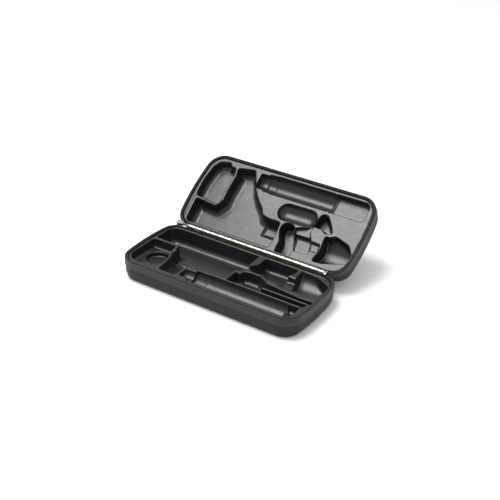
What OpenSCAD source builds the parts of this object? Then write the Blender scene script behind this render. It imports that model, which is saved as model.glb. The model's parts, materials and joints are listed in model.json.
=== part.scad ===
// Hard carry case for a handheld otoscope set, shown open on its hinge.
// The base lies on its underside, X runs along the hinge and -Y is the front.
// Each half is drawn in a half frame: rim plane at z = 0, hinge side at +Y, material below.

/* [Case] */
// Overall length, end to end
case_l = 290; // [284:1:310]
// Width of each half, hinge side to front
case_w = 130.7; // [128:0.1:142]
// Height of the base's rim plane above the table
base_h = 31; // [30:0.5:38]
// Depth of the lid from its rim plane to its outer face
lid_h = 31; // [30:0.5:38]
// Corner radius of the outline on the hinge side
rear_r = 25.6; // [20:0.2:30]
// Corner radius of the outline at the front
front_r = 27.5; // [20:0.5:32]
// How far each short end bows out
end_bow = 5.5; // [3:0.1:9]

/* [Shells] */
// Wall of both shells
shell_t = 2; // [1.6:0.1:2.2]
// Floor of the base's shell, thick so that the open case stands
base_floor_t = 3.6; // [2.5:0.1:4.2]
// Outer panel of the lid's shell
lid_floor_t = 1.8; // [1.4:0.1:2.6]
// Height of the rounded edge round the outer face
edge_h = 13; // [8:0.5:15]
// How far that rounded edge draws in
edge_in = 6; // [3:0.5:8]
// Radius of the moulded relief at each end of the hinge
relief_r = 5; // [4.8:0.1:6]

/* [Zip] */
// Thickness of the zip tape that wraps the rim
tape_t = 1; // [0.6:0.1:1.2]
// Depth of the tape band on the outside of the wall
tape_h = 9; // [6:0.5:11]
// Width of the tape folded in over the rim
tape_fold = 4; // [3.4:0.1:4.4]
// Width of the coil row on the tape
coil_w = 2.4; // [1.8:0.1:2.6]
// Height of the coil row above the tape
coil_h = 1.7; // [1:0.1:1.8]
// Inset of the coil row from the outline
coil_in = 0.9; // [0.5:0.1:1.2]
// How far round the left rear corner the zip stops, degrees
zip_turn_left = 27; // [26:1:34]
// How far round the right rear corner the zip stops, degrees
zip_turn_right = 11; // [10:1:16]
// Height of the welt that covers the tape's lower edge
welt_h = 2; // [1.4:0.1:2.6]

/* [Hinge] */
// How far the hinge stops short of the rear corners' curves, at each end
hinge_in = 1.7; // [1:0.1:8]
// Outer radius of the knuckles
knuckle_r = 2.3; // [2.1:0.1:2.5]
// Number of knuckles on both leaves together
knuckles = 18; // [8:2:22]
// Gap between neighbouring knuckles
knuckle_gap = 0.4; // [0.3:0.05:0.6]
// Radius of the hinge pin
pin_r = 1.1; // [0.8:0.05:1.3]
// Radial running clearance of the pin in the lid's knuckles
pin_play = 0.06; // [0.03:0.01:0.09]
// Height of the pin above each rim plane
pin_up = 2; // [1.95:0.01:2.1]
// How far the pin lies outside the hinge edge
pin_out = 0.3; // [0.1:0.05:0.6]
// Angle that the lid opens from closed
open_angle = 145.3; // [120:0.1:150]
// Thickness of a leaf
leaf_t = 0.8; // [0.6:0.05:0.9]
// Depth of a leaf below the rim
leaf_h = 11; // [9:0.5:14]
// Rivets in each leaf
rivets = 5; // [3:1:9]
// Distance of the end rivets from the ends of the leaf
rivet_in = 11.5; // [6:0.5:20]
// Radius of a rivet's head
rivet_r = 2.6; // [1.8:0.1:3]
// Height of a rivet's head
rivet_h = 0.65; // [0.4:0.05:0.7]

/* [Trays] */
// Sheet thickness of the formed trays
tray_t = 1.2; // [0.8:0.1:1.4]
// Gap from the case's outline to a tray's edge
tray_in = 4.8; // [4.7:0.1:6]
// Depth of a tray's flange below the rim plane
tray_down = 1.4; // [1.1:0.1:2]
// Draft of the pocket walls, degrees
draft = 4; // [2:0.5:6]
// Radius of the chamfered foot of a pocket
foot = 2.5; // [1:0.1:3]
// Radius of the handle trough
handle_r = 15.6; // [14:0.1:16]
// Distance from the handle trough's axis to the front edge
handle_in = 24.7; // [23.5:0.1:26]
// Depth of the box pocket at the left end
box_d = 14; // [10:0.5:17]
// Radius of the round recess in the base's box pocket
cup_r = 17.5; // [12:0.5:18]
// Depth of the round drum pockets at the right end
drum_d = 20; // [14:0.5:22]
// Depth of the lid's oval pocket
oval_d = 11; // [7:0.5:14]

/* [Slider] */
// Distance of the slider's middle from the end of the hinge
slider_out = 13.5; // [12:0.5:15]
// Length of the slider
slider_l = 12; // [9:0.5:12]
// Width of the slider at its shoulders
slider_w = 7.4; // [6:0.2:8]
// Thickness of a slider plate
slider_t = 1.1; // [0.8:0.1:1.3]
// Inner height between the slider's plates
slider_gap = 2.6; // [2:0.1:3]
// Length of the pull tab below its pivot
pull_l = 22; // [14:0.5:23]
// Width of the pull tab
pull_w = 5.6; // [4:0.2:6]
// Radius of the pull tab's pivot pin
pivot_r = 0.7; // [0.5:0.05:0.9]
// Length of an end stop across the hinge line
stop_l = 8.4; // [6:0.2:9]

/* [Hidden] */

half_w = case_w / 2;
pin_y = half_w + pin_out;
lid_tilt = 180 - open_angle;

// The short end is an arc, and each corner arc touches it and the straight long side
bow_r = (half_w * half_w + end_bow * end_bow) / (2 * end_bow);
bow_x = case_l / 2 - bow_r;
function corner_x(r) = bow_x + sqrt(pow(bow_r - r, 2) - pow(half_w - r, 2));
function corner_a(r) = atan2(half_w - r, corner_x(r) - bow_x);

corner_steps = 7;
bow_steps = 4;

hinge_l = 2 * (corner_x(rear_r) - hinge_in);
rivet_pitch = (hinge_l - 2 * rivet_in) / (rivets - 1);
slider_x = hinge_l / 2 + slider_out;

// A station on the outline is [centre x, centre y, radius, angle]
function right_stations(last_a) = let (af = corner_a(front_r), ar = corner_a(rear_r)) concat(
    [for (k = [0:corner_steps])
        [corner_x(front_r), front_r - half_w, front_r, -90 + k / corner_steps * (90 - af)]],
    [for (k = [1:bow_steps - 1]) [bow_x, 0, bow_r, -af + k / bow_steps * (af + ar)]],
    [for (k = [0:corner_steps])
        [corner_x(rear_r), half_w - rear_r, rear_r, ar + k / corner_steps * (last_a - ar)]]);
function flipped(st) = [for (k = [len(st) - 1:-1:0]) [-st[k][0], st[k][1], st[k][2], 180 - st[k][3]]];
loop_stations = concat(right_stations(90), flipped(right_stations(90)));
zip_stations = concat(flipped(right_stations(90 - zip_turn_left)), right_stations(90 - zip_turn_right));

function at(s, inset, z) = [s[0] + (s[2] - inset) * cos(s[3]), s[1] + (s[2] - inset) * sin(s[3]), z];
function ring(inset, z) = [for (s = loop_stations) at(s, inset, z)];

// Skins a stack of rings that have equal numbers of points
module loft(rings) {
    n = len(rings[0]);
    last = (len(rings) - 1) * n;
    polyhedron(
        points = [for (r = rings) each r],
        faces = concat(
            [[for (k = [0:n - 1]) k]],
            [for (j = [0:len(rings) - 2], k = [0:n - 1])
                let (a = j * n + k, b = j * n + (k + 1) % n) [a, a + n, b + n, b]],
            [[for (k = [n - 1:-1:0]) last + k]]));
}

// Sweeps a section of [inset, z] points along the zip's three sides
module along_zip(section)
    loft([for (s = zip_stations) [for (p = section) at(s, p[0], p[1])]]);

// Puts a half frame where the base or the open lid is
module as_base() translate([0, 0, base_h]) children();
module as_lid()
    translate([0, pin_y, base_h + pin_up]) rotate([lid_tilt, 0, 0])
        translate([0, pin_y, -pin_up]) mirror([0, 1, 0]) children();

// Shells
wall_in = tape_t;
wall_top = -tape_t;
edge_steps = 4;
// Inset of the rounded edge, from 0 where it starts to its full draw at the outer face
function edge_draw(t) = edge_in * (1 - sqrt(max(0, 1 - t * t)));

module shell_body(h, floor_t) difference() {
    loft(concat(
        [for (k = [edge_steps:-1:0]) let (t = k / edge_steps)
            ring(wall_in + edge_draw(sqrt(t)), -h + edge_h * (1 - sqrt(t)))],
        [ring(wall_in, wall_top)]));
    loft(concat(
        [for (k = [edge_steps:-1:0]) let (t = k / edge_steps)
            ring(wall_in + shell_t + edge_draw(sqrt(t)),
                 floor_t - h + (edge_h - floor_t) * (1 - sqrt(t)))],
        [ring(wall_in + shell_t, wall_top + 1)]));
    for (side = [-1, 1]) translate([side * (hinge_l / 2 + relief_l / 2 + knuckle_gap), pin_y, pin_up])
        rotate([0, 90, 0]) cylinder(r = relief_r, h = relief_l, center = true, $fn = 48);
    rivet_places() rotate([90, 0, 0])
        cylinder(r = shank_r + shank_play, h = 4 * shell_t, center = true, $fn = 24);
}
relief_l = 20;

module base_shell() color("#2c2d31") as_base() shell_body(base_h, base_floor_t);
module lid_shell() color("#2c2d31") as_lid() shell_body(lid_h, lid_floor_t);

// Zip tape, coil row and welt on one half
module tape_ring() along_zip([
    [tape_fold, 0], [0.5, 0], [0, -0.5], [0, -tape_h], [tape_t, -tape_h],
    [tape_t, -tape_t], [tape_fold, -tape_t]]);
module coil_ring() along_zip([
    [coil_in + coil_w, 0], [coil_in + 0.8 * coil_w, 0.8 * coil_h], [coil_in + 0.5 * coil_w, coil_h],
    [coil_in + 0.2 * coil_w, 0.8 * coil_h], [coil_in, 0]]);
module welt_ring() along_zip([
    [wall_in, -tape_h], [0, -tape_h], [-0.3, -tape_h - welt_h / 2], [0, -tape_h - welt_h],
    [wall_in, -tape_h - welt_h]]);

module base_zip_tape() color("#17181a") as_base() tape_ring();
module base_zip_coil() color("#232427") as_base() coil_ring();
module base_welt() color("#3a3b40") as_base() welt_ring();
module lid_zip_tape() color("#17181a") as_lid() tape_ring();
module lid_zip_coil() color("#232427") as_lid() coil_ring();
module lid_welt() color("#3a3b40") as_lid() welt_ring();

// Hinge
pitch = hinge_l / knuckles;
leaf_y = half_w - wall_in - shell_t;
rivet_z = -leaf_h / 2 - 1;
shank_r = 1.3;
shank_play = 0.05;
leaf_clear = 0.3;

module rivet_places()
    for (k = [0:rivets - 1]) translate([(k - (rivets - 1) / 2) * rivet_pitch, leaf_y, rivet_z]) children();

// One leaf with every second knuckle, the first of them at place "start"
module leaf(start, bore_r) difference() {
    union() {
        translate([-hinge_l / 2, leaf_y - leaf_t, -leaf_h]) cube([hinge_l, leaf_t, leaf_h + wall_top]);
        translate([-hinge_l / 2, leaf_y - leaf_t, wall_top])
            cube([hinge_l, pin_y - knuckle_r - leaf_clear - leaf_y + leaf_t, leaf_t]);
        for (k = [start:2:knuckles - 1])
            translate([-hinge_l / 2 + k * pitch + knuckle_gap / 2, 0, 0]) {
                translate([0, pin_y, pin_up]) rotate([0, 90, 0])
                    cylinder(r = knuckle_r, h = pitch - knuckle_gap, $fn = 48);
                translate([0, leaf_y - leaf_t, wall_top])
                    cube([pitch - knuckle_gap, pin_y - leaf_y + leaf_t, leaf_t]);
            }
    }
    translate([0, pin_y, pin_up]) rotate([0, 90, 0])
        cylinder(r = bore_r, h = hinge_l + 2, center = true, $fn = 32);
    rivet_places() rotate([90, 0, 0])
        cylinder(r = shank_r + shank_play, h = 4 * leaf_t, center = true, $fn = 24);
}

// A domed head on each side of the wall, joined by the shank
module rivet_row() rivet_places() rotate([-90, 0, 0]) rotate_extrude($fn = 32) polygon([
    [0, -leaf_t - rivet_h], [rivet_r * 0.6, -leaf_t - rivet_h * 0.85], [rivet_r, -leaf_t],
    [shank_r, -leaf_t], [shank_r, shell_t], [rivet_r, shell_t],
    [rivet_r * 0.6, shell_t + rivet_h * 0.85], [0, shell_t + rivet_h]]);

module base_hinge_leaf() color("#8d8c84") as_base() leaf(0, pin_r);
module lid_hinge_leaf() color("#8d8c84") as_lid() leaf(1, pin_r + pin_play);
module base_hinge_rivets() color("#a5a49c") as_base() rivet_row();
module lid_hinge_rivets() color("#a5a49c") as_lid() rivet_row();
module hinge_pin() color("#d8d8d4") as_base() translate([0, pin_y, pin_up]) rotate([0, 90, 0])
    cylinder(r = pin_r, h = hinge_l, center = true, $fn = 32);

// Slider, pull tab and end stops lie on the hinge line, halfway between the two rims
pivot_z = -slider_gap / 2 - slider_t - 2.3;
pivot_play = 0.06;
eye_r = pivot_r + 1;
eye_w = 2.2;
ear_t = 0.8;
ear_gap = 0.3;
stop_w = 2.6;
stop_t = 2;

module on_hinge_line(x) translate([x, pin_y, base_h + pin_up]) rotate([lid_tilt / 2, 0, 0]) children();

// Plate outline: shoulders at the open end, a narrow tail towards the hinge
module slider_plate() linear_extrude(slider_t) polygon([
    [-slider_l / 2, -slider_w * 0.28], [-slider_l * 0.42, -slider_w / 2], [-slider_l * 0.1, -slider_w / 2],
    [slider_l * 0.25, -slider_w * 0.34], [slider_l / 2, -slider_w * 0.32],
    [slider_l / 2, slider_w * 0.32], [slider_l * 0.25, slider_w * 0.34],
    [-slider_l * 0.1, slider_w / 2], [-slider_l * 0.42, slider_w / 2], [-slider_l / 2, slider_w * 0.28]]);

module zip_slider() color("#6d6e70") on_hinge_line(-slider_x) {
    translate([0, 0, slider_gap / 2]) slider_plate();
    translate([0, 0, -slider_gap / 2 - slider_t]) slider_plate();
    translate([-slider_l * 0.3, 0, 0]) linear_extrude(slider_gap + 0.2, center = true)
        polygon([[-slider_l * 0.18, 0], [0, -slider_w * 0.2], [slider_l * 0.3, 0], [0, slider_w * 0.2]]);
}

// The crown holds the pull tab: a foot on the slider's plate, two ears and the pivot between them
module slider_crown() color("#6d6e70") on_hinge_line(-slider_x) {
    crown_w = eye_w + 2 * ear_gap + 2 * ear_t;
    for (side = [-1, 1]) {
        translate([-ear_l / 2, side * (eye_w / 2 + ear_gap + ear_t / 2) - ear_t / 2, pivot_z])
            cube([ear_l, ear_t, -pivot_z - slider_gap / 2 - slider_t]);
        translate([0, side * (eye_w / 2 + ear_gap + ear_t / 2), pivot_z]) rotate([90, 0, 0])
            cylinder(r = ear_l / 2, h = ear_t, center = true, $fn = 32);
    }
    translate([-ear_l / 2, -crown_w / 2, -slider_gap / 2 - slider_t - crown_t])
        cube([ear_l, crown_w, crown_t]);
    translate([0, 0, pivot_z]) rotate([90, 0, 0])
        cylinder(r = pivot_r, h = crown_w, center = true, $fn = 32);
}
ear_l = 3.2;
crown_t = 0.45;

module zip_pull() color("#7b7c7e") on_hinge_line(-slider_x) translate([0, 0, pivot_z]) difference() {
    union() {
        rotate([90, 0, 0]) cylinder(r = eye_r, h = eye_w, center = true, $fn = 40);
        translate([-0.6, 0, 0]) rotate([90, 0, 90]) linear_extrude(1.2) polygon([
            [-eye_w / 2, 0], [-eye_w / 2, -eye_r - 1.2], [-pull_w / 2, -eye_r - 3.5],
            [-pull_w / 2, 1.2 - pull_l], [-pull_w * 0.3, -pull_l], [pull_w * 0.3, -pull_l],
            [pull_w / 2, 1.2 - pull_l], [pull_w / 2, -eye_r - 3.5], [eye_w / 2, -eye_r - 1.2],
            [eye_w / 2, 0]]);
    }
    rotate([90, 0, 0]) cylinder(r = pivot_r + pivot_play, h = eye_w + 1, center = true, $fn = 32);
    translate([0, 0, 4.5 - pull_l]) rotate([0, 90, 0]) cylinder(r = 1.3, h = 4, center = true, $fn = 32);
}

module zip_stop(side) color("#dcdcd6")
    translate([side * (hinge_l / 2 + 1.1 + stop_w / 2), pin_y, base_h + pin_up]) hull()
        for (end = [-1, 1]) translate([0, end * (stop_l / 2 - 1), 0]) rotate([0, 90, 0])
            cylinder(r = stop_t / 2, h = stop_w, center = true, $fn = 24);
module zip_stop_left() zip_stop(-1);
module zip_stop_right() zip_stop(1);

// Trays. Pockets are drawn in plan as [x, s], where s runs from the hinge edge to the front,
// with z = 0 on the flange. Each pocket module takes g, by which its solid is grown:
// 0 cuts the inside, tray_t leaves the formed sheet round it.
// Places along X in the pockets' outlines are those of a case of the drawn length, and stretch with it.
drawn_l = 290;
stretch = case_l / drawn_l;
tray_z = -tray_down;
handle_s = case_w - handle_in;
base_room = base_h - tray_down - base_floor_t - tray_t;

function unit(v) = v / norm(v);
// Rounded outline from counter-clockwise corners [x, y, radius], grown by g
function rounded(c, g) = [for (i = [0:len(c) - 1])
    let (n = len(c), p = c[i], q = c[(i + n - 1) % n], r = c[(i + 1) % n],
         d1 = unit([p[0] - q[0], p[1] - q[1]]), d2 = unit([r[0] - p[0], r[1] - p[1]]),
         n1 = [d1[1], -d1[0]], n2 = [d2[1], -d2[0]],
         turn = atan2(d1[0] * d2[1] - d1[1] * d2[0], d1[0] * d2[0] + d1[1] * d2[1]),
         out = turn > 0 ? 1 : -1,
         rad = max(p[2] + out * g, 0.1),
         tip = [p[0], p[1]] + g * (n1 + n2) / (1 + n1 * n2),
         mid = tip - d1 * rad * tan(abs(turn) / 2) - out * n1 * rad,
         steps = p[2] > 0 ? max(1, round(abs(turn) / 30)) : 0,
         a0 = atan2(out * n1[1], out * n1[0]))
    each steps == 0 ? [tip] : [for (k = [0:steps])
        mid + rad * [cos(a0 + turn * k / steps), sin(a0 + turn * k / steps)]]];

function lifted(pts, z) = [for (p = pts) [p[0], p[1], z]];

// A formed pocket with drafted walls and a chamfered foot
module well(corners, depth, g) {
    lean = (depth - foot) * tan(draft);
    loft([lifted(rounded(corners, g - lean - foot * 0.8), -depth - g),
          lifted(rounded(corners, g - lean), foot - depth - g),
          lifted(rounded(corners, g), g > 0 ? 0 : 1)]);
}

// A pocket whose floor slopes in a plane from depth a[1] at s = a[0] to depth b[1] at s = b[0]
module ramp_well(corners, a, b, g) {
    bottom = rounded(corners, g - foot);
    loft([[for (p = bottom) [p[0], p[1], -g - a[1] - (p[1] - a[0]) * (b[1] - a[1]) / (b[0] - a[0])]],
          lifted(rounded(corners, g), g > 0 ? 0 : 1)]);
}

// A pocket with round ends between two points [x, s], with drafted walls
module slot_well(a, ra, b, rb, depth, g) hull() for (e = [[a, ra], [b, rb]])
    translate([e[0][0], e[0][1], -depth - g]) {
        lean = (depth - foot) * tan(draft);
        cylinder(r = e[1] + g - lean - foot * 0.8, h = 0.1, $fn = 24);
        translate([0, 0, foot]) cylinder(r = e[1] + g - lean, h = 0.1, $fn = 24);
        translate([0, 0, depth + g - 0.1]) cylinder(r = e[1] + g, h = g > 0 ? 0.1 : 1, $fn = 24);
    }

// A round bed along X between x0 and x1, its axis at the given height over the flange
module trough(x0, x1, s, r, g, axis_z = 0) intersection() {
    hull() for (x = [x0 - g, x1 + g - 0.1]) translate([x, s, axis_z]) rotate([0, 90, 0])
        cylinder(r = r + g, h = 0.1, $fn = 40);
    translate([x0 - 50, s - 50, -50]) cube([x1 - x0 + 100, 100, g > 0 ? 50 : 51]);
}

// The handle's bed: neck, collar seat, half-round main trough, a step and the end bed
module handle_bed(neck_x, neck_r, seat_x, main_x, step_x, end_x, end_d, g) {
    trough(neck_x, seat_x + 1, handle_s, neck_r, g);
    trough(seat_x, main_x + 1, handle_s, handle_r - 1, g);
    trough(main_x, step_x, handle_s, handle_r, g);
    trough(step_x - 1, step_x + 3, handle_s, handle_r - 1.6, g);
    well([[step_x + 2, handle_s - handle_r, 2], [end_x, handle_s - handle_r, 3],
          [end_x, handle_s + handle_r, 9], [step_x + 2, handle_s + handle_r, 2]], end_d, g);
}

// Drum pocket: a round bed along X, its lowest line at s = mid, inside an outline
module drum(corners, mid, g) intersection() {
    well(corners, drum_d + 2 * foot, g);
    trough(corners[0][0] - 8, drawn_l / 2, mid, drum_r, g, drum_r - drum_d);
}
drum_r = 30;

module base_pockets(g) {
    hs = handle_s - handle_r;
    // Box pocket at the left end, with a round recess
    well([[-136, 53.5, 4], [-96.5, 53.5, 3], [-94.5, 68, 8], [-87.5, 84, 14],
          [-84.5, 101, 14], [-85.5, case_w - 12, 5], [-125, case_w - 12, 14],
          [-136, case_w - 24, 12]], box_d, g);
    slot_well([-112, 77], cup_r, [-112, 78], cup_r, box_d + 7, g);
    // Large bed for the instrument head, with a ramp up to the front
    well([[-135, 9.5, 14], [16, 8.5, 3], [17, 34, 5], [22, 45.5, 4], [17.5, 55, 3], [9, 60, 3],
          [9, hs - 2.5, 3], [-38, hs - 2.5, 6], [-50, 68, 8], [-91, 64, 6], [-93, 50, 3],
          [-135.5, 49, 4]], base_room, g);
    ramp_well([[-87, 61.2, 3], [-46, 61.2, 3], [-38.5, 84, 4], [-51, 92, 3], [-51, case_w - 12, 4],
               [-79, case_w - 12, 5], [-81, 101, 10], [-84, 84, 8], [-89.4, 71, 5]],
              [62, base_room - 0.6], [case_w - 12, ramp_d], g);
    // Handle bed along the front: a ribbed collar seat, then the main trough
    handle_bed(-47, 9.5, -31, -12, 112, 130, 12, g);
    // Barrel pocket with two long channels
    well([[12.5, 62, 2], [20, 66, 2], [21.5, 57, 3], [30, 54, 4], [46, 54, 5], [58, 61, 4],
          [63, 64, 4], [63, hs - 2.2, 2], [12.5, hs - 2.2, 3]], 17, g);
    well([[54, 63.2, 1], [118, 70.3, 8], [138, 69, 3], [138, 76.5, 2], [54, 76.5, 1]], 11, g);
    well([[60, 79, 1], [135, 79, 2], [132, hs - 2.8, 3], [60, hs - 2.8, 1]], 13, g);
    // Pocket on the hinge side, whose far wall drops to a saddle next to the drum pocket
    well([[27.5, 8.5, 3], [81, 8.5, 3], [81, 20, 4], [75, 34, 6], [79, 54, 4], [60, 56, 6],
          [46, 51, 6], [31, 50.5, 4], [23, 45, 4], [20.5, 38, 3], [28, 28, 4]], 19, g);
    well([[72, 32, 3], [97, 32, 3], [101, 58.5, 2], [97, 62.5, 3], [86, 62, 3],
          [72, 53, 3]], saddle_d, g);
    drum([[86.5, 8.5, 3], [112, 11, 25], [136.5, 24, 10], [138, 42, 25],
          [131, 58.6, 10], [105, 61, 10], [95.5, 60, 3], [89.5, 35, 20]], 35.1, g);
}

module lid_pockets(g) {
    hs = handle_s - handle_r;
    // Box pocket with a stepped corner
    well([[-134.5, 53.5, 5], [-97, 48.5, 6], [-90.5, 52, 5], [-92, 66, 4],
          [-92, 104, 5], [-96, 114.5, 3], [-104, 115, 3], [-109, case_w - 9.5, 4],
          [-125, case_w - 13, 8], [-132.5, 107, 8], [-136, 82, 20]], box_d + 3, g);
    // Large bed for the instrument head, with its neck towards the far edge and a deeper right end
    well([[-127.5, 8.6, 6], [17, 8.6, 4], [19, 28, 5], [15.5, 52, 4], [-1, 52, 3],
          [-16, 54.5, 5], [-22, 64, 8], [-35, 76, 12], [-46, 89, 12], [-56.5, 108, 5],
          [-64, case_w - 10, 4], [-92.5, case_w - 15, 4], [-88.5, 102, 6],
          [-88.5, 74, 4], [-87, 58, 5], [-94, 45, 6], [-131, 49, 4]], 20, g);
    well([[-14, 30, 3], [17, 30, 2], [14.5, 50.5, 3], [-1, 50.5, 3], [-14, 50.5, 4]], 23, g);
    // Handle bed along the far edge
    handle_bed(-51, 12.4, -37, -24, 73, 130, 12, g);
    // Oval pocket
    slot_well([17.5, 70.5], 14, [51.5, 71], 14, oval_d, g);
    // Arched slot for a slender part
    well([[29, 7, 2], [53.5, 7, 2], [54, 18, 3], [41.5, 46, 4], [40.5, 55.3, 9], [19.5, 55.3, 9.5],
          [20.5, 41, 4], [28.5, 24, 4]], 20, g);
    // Stepped pocket beside it, round a raised tongue with a sunk foot
    well([[44, 43, 1], [70, 43, 1], [66, 51.5, 3], [67.5, 68.5, 2], [57, 57.5, 6], [41, 50.5, 2]], 6, g);
    well([[50, 16, 2], [77.5, 18.5, 2], [73.5, 39, 3], [69.5, 45, 2], [43, 44.5, 2]], 13, g);
    well([[74, 25, 2], [90, 25, 2], [88, 37.5, 2], [74, 38.5, 2]], tongue_d, g);
    // Lobe above the tongue
    well([[66, 61.5, 2], [78, 61.5, 4], [87, 56.5, 3], [98, 58.5, 3], [91.5, 69.5, 8], [79, 84.5, 6],
          [70, 85, 6], [66, 73, 6]], 17, g);
    drum([[87.5, 11, 3], [103, 12, 15], [135, 22, 10], [138.6, 36, 10], [128, 50.5, 14],
          [104, 57.5, 8], [97, 53, 3], [89.5, 52.5, 2.5], [92, 31, 20]], 33, g);
}
ramp_d = 9.5;
saddle_d = 9;
tongue_d = 4.5;

module tray(in_lid) mirror([0, 1, 0]) translate([0, -half_w, tray_z]) difference() {
    union() {
        translate([0, half_w, 0]) mirror([0, 1, 0]) translate([0, 0, -tray_t]) linear_extrude(tray_t)
            polygon([for (s = loop_stations) let (p = at(s, tray_in, 0)) [p[0], p[1]]]);
        pockets(in_lid, tray_t);
    }
    pockets(in_lid, 0);
}

module pockets(in_lid, g) scale([stretch, 1, 1])
    if (in_lid) lid_pockets(g);
    else base_pockets(g);

module base_tray() color("#3b3c3f") as_base() tray(false);
module lid_tray() color("#3b3c3f") as_lid() tray(true);

base_shell();
base_zip_tape();
base_zip_coil();
base_welt();
base_tray();
base_hinge_leaf();
base_hinge_rivets();
hinge_pin();
zip_stop_left();
zip_stop_right();
zip_slider();
slider_crown();
zip_pull();
lid_shell();
lid_zip_tape();
lid_zip_coil();
lid_welt();
lid_tray();
lid_hinge_leaf();
lid_hinge_rivets();
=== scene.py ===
"""Looks for the otoscope carry case: a hard zip case standing open, a formed tray in each half.

Both halves are drawn in the half frame that the CAD uses, in millimetres: rim plane at z = 0,
hinge side at +y, material below. `Half` carries them to the base or to the open lid.
The trays come from a distance field, so that every lip and floor edge has a moulded radius.
"""

import json
import math

import bpy
import numpy as np
from mathutils import Matrix, Vector


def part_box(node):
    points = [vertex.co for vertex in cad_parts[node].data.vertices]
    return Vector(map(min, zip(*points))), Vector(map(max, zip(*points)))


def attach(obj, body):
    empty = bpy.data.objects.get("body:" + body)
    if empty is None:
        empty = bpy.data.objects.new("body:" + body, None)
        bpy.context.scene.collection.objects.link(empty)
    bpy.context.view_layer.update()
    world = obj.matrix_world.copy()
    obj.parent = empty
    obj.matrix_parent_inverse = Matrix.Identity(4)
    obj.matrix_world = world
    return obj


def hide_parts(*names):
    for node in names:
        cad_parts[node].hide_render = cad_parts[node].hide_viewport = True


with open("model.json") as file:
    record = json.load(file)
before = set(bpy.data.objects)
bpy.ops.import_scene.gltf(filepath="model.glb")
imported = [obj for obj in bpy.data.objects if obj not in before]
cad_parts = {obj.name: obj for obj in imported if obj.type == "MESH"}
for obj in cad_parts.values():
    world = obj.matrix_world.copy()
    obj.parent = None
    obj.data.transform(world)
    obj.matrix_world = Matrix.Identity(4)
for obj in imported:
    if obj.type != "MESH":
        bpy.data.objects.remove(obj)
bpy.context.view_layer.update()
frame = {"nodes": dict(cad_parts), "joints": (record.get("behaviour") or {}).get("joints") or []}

MM = 0.001

# sizes, mm, from the frame
hinge = next(j for j in frame["joints"] if j["name"] == "lid_hinge")
OPEN_ANGLE = hinge["range_deg"][1]
LID_TILT = math.radians(180 - OPEN_ANGLE)
PIN_UP, PIN_OUT = 2.0, 0.3
PIN_Y = hinge["pos_m"][1] / MM
PIN_Z = hinge["pos_m"][2] / MM
HALF_W = PIN_Y - PIN_OUT
CASE_W = 2 * HALF_W
BASE_H = PIN_Z - PIN_UP
HALF_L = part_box("base_zip_tape")[1].x / MM

REAR_R, FRONT_R, END_BOW = 25.6, 27.5, 5.5
EDGE_H, EDGE_IN, SHELL_T = 13.0, 6.0, 2.0
TAPE_T, TAPE_H, TAPE_FOLD = 1.0, 9.0, 4.0
COIL_IN, COIL_W, COIL_H = 0.9, 2.4, 1.7
ZIP_TURN_LEFT, ZIP_TURN_RIGHT = 27.0, 11.0
WELT_H = 2.0
HINGE_IN, KNUCKLES, KNUCKLE_R, KNUCKLE_GAP, ROLL_R = 1.7, 18, 2.3, 0.4, 1.9
LEAF_T, LEAF_H, LEAF_Y = 0.8, 11.0, HALF_W - TAPE_T - SHELL_T
TRAY_IN, TRAY_DOWN, TRAY_T = 4.8, 1.4, 1.2
HANDLE_R, HANDLE_IN = 15.6, 24.7
HANDLE_S = CASE_W - HANDLE_IN


class Half:
    """Carries points from the half frame to the row frame, for the base or for the open lid."""

    def __init__(self, lid):
        self.lid = lid
        self.body = "lid" if lid else "base"

    def place(self, points):
        p = np.asarray(points, float)
        if not self.lid:
            return (p + [0, 0, BASE_H]) * MM
        y, z = PIN_Y - p[:, 1], p[:, 2] - PIN_UP
        c, s = math.cos(LID_TILT), math.sin(LID_TILT)
        return np.stack([p[:, 0], PIN_Y + y * c - z * s, PIN_Z + y * s + z * c], 1) * MM


HALVES = [Half(False), Half(True)]


# meshes
def mesh_object(name, verts, faces, material, body, half, uvs=None):
    """An object that rides a body, from points in the half frame, mm."""
    verts = half.place(verts)
    if half.lid:
        faces = [f[::-1] for f in faces]
        uvs = [u[::-1] for u in uvs] if uvs is not None else None
    mesh = bpy.data.meshes.new(name)
    mesh.from_pydata(verts.tolist(), [], [list(map(int, f)) for f in faces])
    if uvs is not None:
        layer = mesh.uv_layers.new(name="UVMap")
        flat = np.array([c for f in uvs for c in f], np.float32)
        layer.data.foreach_set("uv", flat.ravel())
    mesh.materials.append(material)
    mesh.shade_smooth()
    mesh.update()
    obj = bpy.data.objects.new(name, mesh)
    bpy.context.scene.collection.objects.link(obj)
    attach(obj, body)
    return obj


def sharp(obj, degrees=35):
    """Keeps edges sharper than this angle crisp under smooth shading."""
    mesh = obj.data
    mesh.set_sharp_from_angle(angle=math.radians(degrees))
    return obj


# outline of a half
BOW_R = (HALF_W ** 2 + END_BOW ** 2) / (2 * END_BOW)
BOW_X = HALF_L - BOW_R


def corner_x(r):
    return BOW_X + math.sqrt((BOW_R - r) ** 2 - (HALF_W - r) ** 2)


def corner_a(r):
    return math.atan2(HALF_W - r, corner_x(r) - BOW_X)


def arc(cx, cy, r, a0, a1, step):
    n = max(2, round(abs(a1 - a0) * r / step))
    return [(cx, cy, r, a0 + (a1 - a0) * k / n) for k in range(n + 1)]


def right_side(step, last):
    """Stations (centre x, centre y, radius, direction) from the front corner to the rear corner."""
    af, ar = corner_a(FRONT_R), corner_a(REAR_R)
    s = arc(corner_x(FRONT_R), FRONT_R - HALF_W, FRONT_R, -math.pi / 2, -af, step)
    s += arc(BOW_X, 0, BOW_R, -af, ar, step)[1:]
    s += arc(corner_x(REAR_R), HALF_W - REAR_R, REAR_R, ar, last, step)[1:]
    return s


def mirrored(stations):
    return [(-cx, cy, r, math.pi - a) for cx, cy, r, a in reversed(stations)]


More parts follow.
